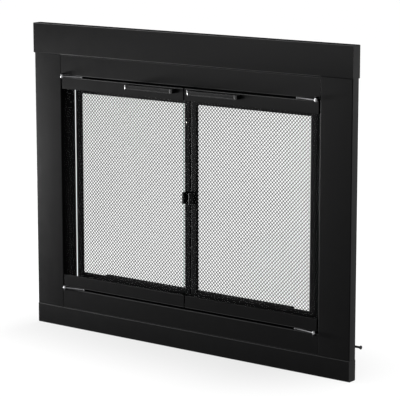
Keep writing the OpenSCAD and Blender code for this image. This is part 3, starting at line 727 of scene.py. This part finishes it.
@dataclass(frozen=True)
class Screw:
    """One kind of long screw, with a head at one end and a pad at the other.

    Attributes:
        node: the node that holds the screws.
        finish: the screws' finish.
        along: the axis that they run along, 0 for X and 2 for Z.
        radius: the shank's radius, in metres.
        pitch: the thread's rise in one turn, in metres.
        head: the length of the head, in metres.
        pad: the thickness of the pad, in metres.
    """

    node: str
    finish: Finish
    along: int
    radius: float
    pitch: float
    head: float
    pad: float

    def spans(self, solid: Object) -> list[tuple[Vector, Vector]]:
        """Finds where the threads run, from the heads to the pads.

        Args:
            solid: the node's object.

        Returns:
            Each thread's start and end on its screw's axis.
        """
        found = []
        for low, high in islands(solid):
            start, end = (low + high) / 2, (low + high) / 2
            if high[self.along] > 0:
                start[self.along] = low[self.along] + self.head
                end[self.along] = high[self.along] - self.pad
            else:
                start[self.along] = high[self.along] - self.head
                end[self.along] = low[self.along] + self.pad
            found.append((start, end))
        return found


TENSION_SCREW = Screw(
    node="tension_screws",
    finish=DARK_STEEL,
    along=0,
    radius=2.4 * MM,
    pitch=1.0 * MM,
    head=3.84 * MM,
    pad=2.5 * MM,
)
LINTEL_SCREW = Screw(
    node="lintel_screws",
    finish=ZINC,
    along=2,
    radius=3.0 * MM,
    pitch=1.25 * MM,
    head=4.5 * MM,
    pad=3.0 * MM,
)


class ShapeSheet(NodeSheet):
    """A Geometry Nodes tree, with its inputs and its end."""

    def __init__(self, name: str) -> None:
        """Starts a tree with one geometry output.

        Args:
            name: the tree's name.
        """
        super().__init__(bpy.data.node_groups.new(name, "GeometryNodeTree"))
        self.tree.interface.new_socket(
            name="Geometry", in_out="OUTPUT", socket_type="NodeSocketGeometry"
        )
        self.inside = self.add("NodeGroupInput")
        self.identifiers: dict[str, str] = {}

    def size(self, name: str, kind: str = "NodeSocketFloat") -> NodeSocket:
        """Adds a named input.

        Args:
            name: the input's name.
            kind: its socket type.

        Returns:
            The socket inside the tree.
        """
        socket = self.tree.interface.new_socket(name=name, in_out="INPUT", socket_type=kind)
        self.identifiers[name] = socket.identifier
        return self.inside.outputs[name]

    def vector(self, x: object = 0.0, y: object = 0.0, z: object = 0.0) -> NodeSocket:
        """Adds a vector made of three numbers or sockets."""
        return self.add("ShaderNodeCombineXYZ", X=x, Y=y, Z=z).outputs["Vector"]

    def gather(self, *parts: NodeSocket) -> NodeSocket:
        """Joins several geometries into one."""
        node = self.add("GeometryNodeJoinGeometry")
        for part in parts:
            self.put(part, node.inputs["Geometry"])
        return node.outputs["Geometry"]

    def finish(self, geometry: NodeSocket, weld: float, smooth: bool) -> None:
        """Ends the tree: realizes instances, welds, shades and sets the material.

        Args:
            geometry: what the tree has made.
            weld: vertices closer than this are merged, in metres.
            smooth: whether faces are shaded smooth.
        """
        for kind, values in (
            ("GeometryNodeRealizeInstances", {}),
            ("GeometryNodeMergeByDistance", {"Distance": weld}),
            ("GeometryNodeSetShadeSmooth", {"Shade_Smooth": smooth}),
            ("GeometryNodeSetMaterial", {"Material": self.size("Material", "NodeSocketMaterial")}),
        ):
            geometry = self.add(kind, Geometry=geometry, **values).outputs["Geometry"]
        self.add("NodeGroupOutput", Geometry=geometry)

    def build(self, name: str, carrier: Mesh | None, **values: object) -> Object:
        """Runs the tree and returns its result as a plain mesh object.

        Args:
            name: the object's name.
            carrier: the mesh that the tree reads, if it reads one.
            **values: the tree's inputs, with spaces in names written as underscores.

        Returns:
            The plain object.
        """
        holder = linked(name + "_raw", carrier or bpy.data.meshes.new(name + "_raw"))
        modifier = holder.modifiers.new(self.tree.name, "NODES")
        modifier.node_group = self.tree
        for key, value in values.items():
            modifier[self.identifiers[key.replace("_", " ")]] = value
        return settled(holder, name)


def woven_wire() -> ShapeSheet:
    """Builds the tree of a diamond wire mesh, in the plane of X and Z.

    Each crossing is one unit of two crimped wires. Units of one lattice have the rising wire
    in front, and those of the other have it behind, so that each wire goes over and under.

    Returns:
        The tree.
    """
    sheet = ShapeSheet("woven_wire")
    cell = sheet.size("Cell")
    radius = sheet.size("Wire Radius")
    columns = sheet.size("Columns", "NodeSocketInt")
    rows = sheet.size("Rows", "NodeSocketInt")
    middle = sheet.size("Middle", "NodeSocketVector")
    quarter = sheet.calculate("MULTIPLY", cell, 0.25)
    back = sheet.calculate("MULTIPLY", quarter, -1.0)
    lift = sheet.calculate("MULTIPLY", radius, WIRE_CRIMP)
    drop = sheet.calculate("MULTIPLY", lift, -1.0)
    ring = sheet.add("GeometryNodeCurvePrimitiveCircle", Resolution=WIRE_FACETS, Radius=radius)

    def wire(start: NodeSocket, end: NodeSocket, peak: NodeSocket) -> NodeSocket:
        """Draws one wire of a crossing, bowed to one side at its middle."""
        path = sheet.add(
            "GeometryNodeCurveQuadraticBezier",
            Resolution=WIRE_STEPS,
            Start=start,
            Middle=sheet.vector(z=peak),
            End=end,
        )
        return sheet.add(
            "GeometryNodeCurveToMesh",
            Curve=path.outputs["Curve"],
            Profile_Curve=ring.outputs["Curve"],
        ).outputs["Mesh"]

    crossing = sheet.gather(
        wire(sheet.vector(back, back), sheet.vector(quarter, quarter), lift),
        wire(sheet.vector(back, quarter), sheet.vector(quarter, back), drop),
    )
    lattices = []
    for turn, fewer in ((0.0, 0.0), (math.pi / 2, 1.0)):
        counts = [sheet.calculate("SUBTRACT", count, fewer) for count in (columns, rows)]
        gaps = [sheet.calculate("SUBTRACT", count, 1.0) for count in counts]
        width, height = [sheet.calculate("MULTIPLY", gap, cell) for gap in gaps]
        grid = sheet.add(
            "GeometryNodeMeshGrid",
            Size_X=width,
            Size_Y=height,
            Vertices_X=counts[0],
            Vertices_Y=counts[1],
        )
        lattice = sheet.add(
            "GeometryNodeInstanceOnPoints",
            Points=grid.outputs["Mesh"],
            Instance=crossing,
            Rotation=(0.0, 0.0, turn),
        )
        lattices.append(lattice.outputs["Instances"])
    upright = sheet.add(
        "GeometryNodeTransform",
        Geometry=sheet.gather(*lattices),
        Rotation=(math.pi / 2, 0.0, 0.0),
        Translation=middle,
    )
    sheet.finish(upright.outputs["Geometry"], weld=0.03 * MM, smooth=True)
    return sheet


def screw_thread() -> ShapeSheet:
    """Builds the tree that winds one thread at each point it is given.

    The points' attribute named turn holds each thread's direction.

    Returns:
        The tree.
    """
    sheet = ShapeSheet("screw_thread")
    starts = sheet.size("Starts", "NodeSocketGeometry")
    radius = sheet.size("Radius")
    pitch = sheet.size("Pitch")
    turns = sheet.size("Turns")
    helix = sheet.add(
        "GeometryNodeCurveSpiral",
        Resolution=THREAD_STEPS,
        Rotations=turns,
        Start_Radius=radius,
        End_Radius=radius,
        Height=sheet.calculate("MULTIPLY", pitch, turns),
    )
    ridge = sheet.add(
        "GeometryNodeCurvePrimitiveCircle",
        Resolution=THREAD_FACETS,
        Radius=sheet.calculate("MULTIPLY", pitch, THREAD_RIDGE),
    )
    wound = sheet.add(
        "GeometryNodeCurveToMesh",
        Curve=helix.outputs["Curve"],
        Profile_Curve=ridge.outputs["Curve"],
        Fill_Caps=True,
    )
    turn = sheet.add("GeometryNodeInputNamedAttribute", {"data_type": "FLOAT_VECTOR"}, Name="turn")
    placed = sheet.add(
        "GeometryNodeInstanceOnPoints",
        Points=starts,
        Instance=wound.outputs["Mesh"],
        Rotation=next(socket for socket in turn.outputs if socket.enabled),
    )
    sheet.finish(placed.outputs["Instances"], weld=0.01 * MM, smooth=False)
    return sheet


# ---- Sub-assemblies ----


class Assembly:
    """What the sub-assemblies share: the frame, the finishes and how a piece is handed over."""

    def __init__(self, frame: dict, finishes: Finishes, body: str) -> None:
        """Keeps what the sub-assembly is built from.

        Args:
            frame: the loaded frame.
            finishes: the shared materials.
            body: the body that its pieces ride on.
        """
        self.frame = frame
        self.finishes = finishes
        self.body = body
        self.slots = {part["node"]: part["material_slot"] for part in frame["record"]["subparts"]}

    def node(self, name: str) -> Object:
        """Returns the solid of that name."""
        return self.frame["nodes"][name]

    def paint(self, piece: Object, finish: Finish | Coat) -> None:
        """Gives a piece its material, or each of its faces the one that its coat has there.

        Args:
            piece: the piece.
            finish: the piece's finish or coat.
        """
        layers = finish.layers() if isinstance(finish, Coat) else (finish,)
        piece.data.materials.clear()
        for layer in layers:
            piece.data.materials.append(self.finishes[layer])
        # A coat gives each face its lit or shaded copy of the paint by where it looks: painted
        # highlight, painted light or painted shade.
        if isinstance(finish, Coat):
            for face in piece.data.polygons:
                face.material_index = finish.layer_of(face.normal, face.center)

    def keep(self, name: str, finish: Finish) -> None:
        """Shows a solid as it is, in the finish given.

        Args:
            name: the node's name.
            finish: its finish.
        """
        solid = self.node(name)
        if not solid.material_slots:
            solid.data.materials.append(self.finishes[finish])
        for place in solid.material_slots:
            place.material = self.finishes[finish]
        self.slots[name]
        LOG.info("%s keeps its solid, in %s", name, finish.name)

    def hand_over(self, piece: Object, finish: Finish | Coat, *nodes: str, slot: str = "") -> None:
        """Puts a new piece on the body and hides the solids that it stands for.

        Args:
            piece: the piece, in place.
            finish: its finish or coat.
            *nodes: the solids that it replaces.
            slot: the material slot, where the piece replaces no solid; not used.
        """
        self.paint(piece, finish)
        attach(piece, self.body)
        if nodes:
            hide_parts(*nodes)
        slot or self.slots[nodes[0]]
        LOG.info("%s rides on %s", piece.name, self.body)

    def soften(
        self,
        name: str,
        finish: Finish | Coat,
        width: float,
        steps: int = 2,
        cuts: Sequence[float] = (),
    ) -> Object:
        """Replaces a solid by a copy with rounded edges.

        Args:
            name: the node's name.
            finish: its finish or coat.
            width: the width of the rounding, in metres.
            steps: how many faces each rounding has.
            cuts: the places along X where its faces are split, in metres.

        Returns:
            The copy.
        """
        piece = softened(self.node(name), name + "_dressed", width, steps, cuts)
        self.hand_over(piece, finish, name)
        return piece

    def thread(self, tree: ShapeSheet, screw: Screw) -> None:
        """Winds a thread on each screw of a node.

        Args:
            tree: the tree that winds one thread at each of its points.
            screw: the kind of screw.
        """
        spans = screw.spans(self.node(screw.node))
        name = screw.node + "_threads"
        carrier = bpy.data.meshes.new(name + "_starts")
        carrier.from_pydata([start for start, _ in spans], [], [])
        turns = carrier.attributes.new("turn", "FLOAT_VECTOR", "POINT")
        for place, (start, end) in zip(turns.data, spans):
            place.vector = (end - start).to_track_quat("Z", "Y").to_euler()
        start, end = spans[0]
        piece = tree.build(
            name,
            carrier,
            Radius=screw.radius,
            Pitch=screw.pitch,
            Turns=float(int((end - start).length / screw.pitch)),
            Material=self.finishes[screw.finish],
        )
        piece.data.attributes.remove(piece.data.attributes["turn"])
        self.hand_over(piece, screw.finish, slot=self.slots[screw.node])


@dataclass
class Surround:
    """The panels, the fixed rails, the frame behind them and all that holds them.

    Attributes:
        shop: what the pieces are built with.
    """

    shop: Assembly

    def dress(self) -> None:
        """Dresses the panels, the rails and all that is fixed to them."""
        self.panels()
        self.frame()
        self.bearings()
        self.fixings()

    def panels(self) -> None:
        """Dresses the panels and rails; the header's lower fold has its painted highlight only over
        the rail's length.
        """
        # The header's faces are split at the rail's ends, so that the painted highlight on its
        # lower fold stops there.
        _, rail_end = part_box("upper_rail")
        header = replace(HEADER_COAT, under_from=rail_end.x)
        self.shop.soften(
            "header_panel", header, Rounding.PANEL, cuts=(-header.under_from, header.under_from)
        )
        self.shop.soften("upper_rail", UPPER_COAT, Rounding.PANEL)
        for name in ("bottom_panel", "lower_rail"):
            self.shop.soften(name, LOWER_COAT, Rounding.PANEL)
        for side in Side:
            self.shop.soften(f"{side.value}_side_panel", SIDE_COAT, Rounding.PANEL)

    def frame(self) -> None:
        """Dresses the jambs and channels, and the unit's bolts and rivets."""
        for name in ("left_jamb", "right_jamb", "top_channel", "sill_channel"):
            self.shop.soften(name, FRAME_COAT, Rounding.FRAME)
        for name in ("seam_bolts", "rail_bolts", "channel_bolts", "clamp_bolts", "bracket_studs"):
            self.shop.soften(name, ZINC, Rounding.FITTING)
        self.shop.keep("frame_rivets", FRAME_BLACK)

    def bearings(self) -> None:
        """Dresses what the doors turn on and close against."""
        self.shop.soften("pivot_lugs", FRAME_BLACK, Rounding.FINE)
        self.shop.keep("pivot_pins", PIVOT_PIN)
        self.shop.keep("mesh_hinge_bushes", BUSH_BRASS)
        self.shop.keep("magnet_catches", MAGNET_BLACK)

    def fixings(self) -> None:
        """Dresses what holds the unit to the masonry, with real threads on the screws."""
        for name in ("side_brackets", "lintel_clamps"):
            self.shop.soften(name, BRACKET_BLACK, Rounding.FITTING)
        threads = screw_thread()
        for screw in (TENSION_SCREW, LINTEL_SCREW):
            self.shop.soften(screw.node, screw.finish, Rounding.FITTING)
            self.shop.thread(threads, screw)


@dataclass
class GlassDoor:
    """One glass door: its rails, pane, handle and pivots.

    Attributes:
        shop: what the pieces are built with.
        side: the door's side.
        ball_width: the width of the balls on its pivot rods, in metres.
    """

    shop: Assembly
    side: Side
    ball_width: float = 7.8 * MM

    def dress(self) -> None:
        """Dresses the door."""
        word = self.side.value
        for name in ("top_rail", "bottom_rail"):
            self.shop.soften(f"{word}_{name}", DOOR_COAT, Rounding.FITTING)
        self.pane(f"{word}_glass_pane")
        self.shop.keep(f"{word}_gaskets", EDGE_TAPE)
        self.shop.soften(f"{word}_handle", HANDLE_COAT, Rounding.HANDLE, steps=3)
        self.shop.keep(f"{word}_handle_screws", ZINC)
        self.rods(f"{word}_pivot_rods")
        self.shop.keep(f"{word}_strike_plate", ZINC)

    def pane(self, name: str) -> None:
        """Dresses the pane, with the green of thick glass on its edges.

        Args:
            name: the node of the pane.
        """
        pane = self.shop.soften(name, DOOR_GLASS, Rounding.PLATE)
        pane.data.materials.append(self.shop.finishes[GLASS_EDGE])
        for face in pane.data.polygons:
            if abs(face.normal.y) < FOLD_FACING:
                face.material_index = 1
        pane.visible_diffuse = pane.visible_glossy = pane.visible_shadow = False

    def rods(self, name: str) -> None:
        """Dresses the pivot rods and gives their balls a brighter finish.

        Args:
            name: the node of the rods.
        """
        rods = self.shop.soften(name, BRIGHT_ROD, Rounding.FINE)
        rods.data.materials.append(self.shop.finishes[PIVOT_BALL])
        reach = max(abs(vertex.co.x) for vertex in rods.data.vertices)
        for face in rods.data.polygons:
            if abs(face.center.x) > reach - self.ball_width:
                face.material_index = 1


@dataclass
class MeshDoor:
    """One mesh door: its frame, wire mesh and pull.

    Attributes:
        shop: what the pieces are built with.
        side: the door's side.
        wire: the tree of the wire mesh.
        cell: the width and height of one diamond, in metres.
        wire_radius: the wire's radius, in metres.
    """

    shop: Assembly
    side: Side
    wire: ShapeSheet
    cell: float = 9.0 * MM
    wire_radius: float = 0.78 * MM

    def weave(self, name: str) -> None:
        """Builds the wire mesh in the place of the flat net.

        Args:
            name: the node of the flat net.
        """
        low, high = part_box(name)
        piece = self.wire.build(
            name + "_woven",
            None,
            Cell=self.cell,
            Wire_Radius=self.wire_radius,
            Columns=int((high.x - low.x) / self.cell),
            Rows=int((high.z - low.z) / self.cell),
            Middle=(low + high) / 2,
            Material=self.shop.finishes[WIRE_BLACK],
        )
        self.shop.hand_over(piece, WIRE_BLACK, name)

    def dress(self) -> None:
        """Dresses the door."""
        word = self.side.value
        for name in ("mesh_stiles", "mesh_rails"):
            self.shop.soften(f"{word}_{name}", MESH_COAT, Rounding.FRAME)
        self.shop.keep(f"{word}_mesh_retainers", FRAME_BLACK)
        self.weave(f"{word}_mesh_screen")
        self.shop.soften(f"{word}_mesh_pull", PULL_BLACK, Rounding.PULL, steps=3)
        self.shop.keep(f"{word}_pull_screw", ZINC)
        self.shop.keep(f"{word}_mesh_hinge_pins", PIN_STEEL)


@dataclass
class DraftVent:
    """The draft vent's housing and its slide.

    Attributes:
        fixed: what the housing is built with.
        moving: what the slide is built with.
    """

    fixed: Assembly
    moving: Assembly

    def dress(self) -> None:
        """Dresses the housing, the guides, the slide and its tab."""
        self.fixed.keep("draft_housing", FRAME_BLACK)
        self.fixed.keep("draft_guides", FRAME_BLACK)
        self.moving.keep("draft_slide", SLIDE_STEEL)
        self.moving.soften("draft_tab", SLIDE_STEEL, Rounding.PLATE)


# ---- Studio ----


@dataclass(frozen=True)
class Lamp:
    """A soft square lamp.

    Attributes:
        name: the lamp's name.
        place: where it stands.
        power: its power, in watts.
        width: its side, in metres.
        aim: the point that it faces.
    """

    name: str
    place: Triple
    power: float
    width: float = 1.2
    aim: Triple = (0.0, 0.0, 0.4)

    def hang(self) -> None:
        """Adds the lamp to the scene."""
        light = bpy.data.lights.new(self.name, "AREA")
        light.shape = "SQUARE"
        light.size = self.width
        light.energy = self.power
        away = Vector(self.aim) - Vector(self.place)
        turn = away.to_track_quat("-Z", "Y").to_matrix().to_4x4()
        linked(self.name, light).matrix_world = Matrix.Translation(self.place) @ turn


LAMPS = (
    Lamp("low_left_lamp", (-2.0, -0.3, 0.06), 205.0, width=0.5, aim=(-0.3, 0.0, 0.1)),
    Lamp("front_softbox", (-2.09, -3.62, 0.77), 50.5),
    Lamp("upper_left_softbox", (-2.92, -1.36, 3.1), 42.0),
    Lamp("front_fill", (0.0, -4.2, 0.2), 95.0),
    Lamp("right_softbox", (2.7, 3.1, 0.3), 60.0, width=0.8, aim=(0.3, 0.0, 0.3)),
    Lamp("rear_softbox", (-0.1, 4.6, 1.2), 150.0),
)


@dataclass(frozen=True)
class Camera:
    """The photograph's viewing angle.

    Attributes:
        lens: the focal length, in millimetres.
        film: the width of the sensor, in millimetres.
        farthest: how far the camera sees, in metres.
        eye: the camera's place.
        right: the direction to the right of the picture.
        up: the direction to the top of the picture.
        ahead: the direction that the camera looks in.
    """

    lens: float = 174.36
    film: float = 36.0
    farthest: float = 200.0
    eye: Triple = (2.8187, -3.5593, 1.1790)
    right: Triple = (0.78706, 0.61687, -0.0007)
    up: Triple = (-0.10861, 0.13971, 0.98422)
    ahead: Triple = (-0.60723, 0.77457, -0.17696)

    def stand(self) -> None:
        """Adds the camera and looks through it."""
        eye = bpy.data.cameras.new("camera")
        eye.sensor_width = self.film
        eye.sensor_fit = "HORIZONTAL"
        eye.lens = self.lens
        eye.clip_end = self.farthest
        camera = linked("camera", eye)
        turn = Matrix((self.right, self.up, [-value for value in self.ahead])).transposed()
        camera.matrix_world = Matrix.Translation(self.eye) @ turn.to_4x4()
        bpy.context.scene.camera = camera


@dataclass(frozen=True)
class Studio:
    """The floor and the white surroundings, with the lamps and the camera in them.

    Attributes:
        ambient: the strength of the surroundings as a light.
        floor_half: half the width of the floor, in metres.
        floor_drop: how far the floor lies below the object, in metres.
        floor_pale: the floor's lightness under the lamps.
        glow: how white the floor looks by itself, around the object and far from the lamps.
        glow_reach: where the first glow ends and the second starts, in metres from mid width.
        painted_foot_shade: how much less it has along the object's foot, as a painted shadow.
        foot_reach: how far from the foot that shade ends, in metres.
        foot_middle: where the middle of that shade lies along X, in metres.
        foot_half: half the length of that shade, in metres.
    """

    ambient: float = 0.45
    floor_half: float = 30.0
    floor_drop: float = 0.5 * MM
    floor_pale: float = 0.16
    glow: tuple[float, float] = (0.915, 0.93)
    glow_reach: tuple[float, float] = (0.6, 5.0)
    painted_foot_shade: float = 0.21
    foot_reach: float = 0.4
    foot_middle: float = -0.1
    foot_half: float = 0.3

    def surroundings(self) -> None:
        """Makes the world white to the eye, in reflections and through glass, and a soft light."""
        world = bpy.data.worlds.new("studio")
        bpy.context.scene.world = world
        sheet = NodeSheet(emptied(world))
        mix = sheet.add("ShaderNodeMixShader", Fac=sheet.seen())
        for strength, target in zip((self.ambient, 1.0), mix.inputs[1:]):
            light = sheet.add("ShaderNodeBackground", Color=WHITE, Strength=strength)
            sheet.put(light.outputs["Background"], target)
        sheet.add("ShaderNodeOutputWorld", Surface=mix.outputs["Shader"])

    def floor_level(self, sheet: NodeSheet) -> NodeSocket:
        """Adds how white the floor looks by itself: less under the lamps, and less along the foot,
        where it is a painted shadow.

        Args:
            sheet: the floor's node tree.

        Returns:
            The level's socket.
        """

        def distance(*sides: NodeSocket) -> NodeSocket:
            """Adds the length of a vector with these two sides."""
            squares = [sheet.calculate("MULTIPLY", side, side) for side in sides]
            return sheet.calculate("SQRT", sheet.calculate("ADD", *squares))

        place = sheet.add("ShaderNodeTexCoord").outputs["Object"]
        x, y, _ = sheet.add("ShaderNodeSeparateXYZ", Vector=place).outputs
        # The painted shadow along the foot: the glow drops by painted_foot_shade at the foot's line
        # and comes back within foot_reach.
        along = sheet.calculate("ABSOLUTE", sheet.calculate("SUBTRACT", x, self.foot_middle))
        beyond = sheet.calculate("MAXIMUM", sheet.calculate("SUBTRACT", along, self.foot_half), 0.0)
        glow = sheet.ramp(distance(x, y), self.glow, self.glow_reach, "SMOOTHSTEP")
        fade, reach = (self.painted_foot_shade, 0.0), (0.0, self.foot_reach)
        shade = sheet.ramp(distance(beyond, y), fade, reach, "SMOOTHSTEP")
        return sheet.calculate("SUBTRACT", glow, shade)

    def floor(self) -> None:
        """Lays a pale floor that holds the object's soft shadow from the lamps, with a painted
        shadow along its foot.
        """
        shape = bmesh.new()
        bmesh.ops.create_grid(shape, x_segments=1, y_segments=1, size=self.floor_half)
        bmesh.ops.translate(shape, verts=shape.verts, vec=(0, 0, -self.floor_drop))
        ground = object_of("floor", shape)
        material = bpy.data.materials.new("pale_floor")
        sheet = NodeSheet(emptied(material))
        matt = sheet.add("ShaderNodeBsdfDiffuse", Color=(*(self.floor_pale,) * 3, 1))
        strength = sheet.calculate("MULTIPLY", sheet.seen(), self.floor_level(sheet))
        glow = sheet.add("ShaderNodeEmission", Color=WHITE, Strength=strength)
        both = sheet.add("ShaderNodeAddShader")
        sheet.put(matt.outputs["BSDF"], both.inputs[0])
        sheet.put(glow.outputs["Emission"], both.inputs[1])
        sheet.add("ShaderNodeOutputMaterial", Surface=both.outputs["Shader"])
        ground.data.materials.append(material)

    def set_up(self) -> None:
        """Sets up the camera, the surroundings, the floor and the lamps."""
        bpy.context.scene.view_settings.view_transform = "Standard"
        Camera().stand()
        self.surroundings()
        self.floor()
        for lamp in LAMPS:
            lamp.hang()
        LOG.info("the studio is set up")


def main() -> None:
    """Loads the frame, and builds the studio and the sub-assemblies."""
    logging.basicConfig(level=logging.INFO, format="%(name)s: %(message)s")
    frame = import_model()
    finishes = Finishes()
    Studio().set_up()
    surround = Assembly(frame, finishes, "surround")
    Surround(surround).dress()
    wire = woven_wire()
    for side in Side:
        GlassDoor(Assembly(frame, finishes, f"{side.value}_glass_door"), side).dress()
        MeshDoor(Assembly(frame, finishes, f"{side.value}_mesh_door"), side, wire).dress()
    DraftVent(surround, Assembly(frame, finishes, "draft_control")).dress()


if __name__ == "__main__":
    main()
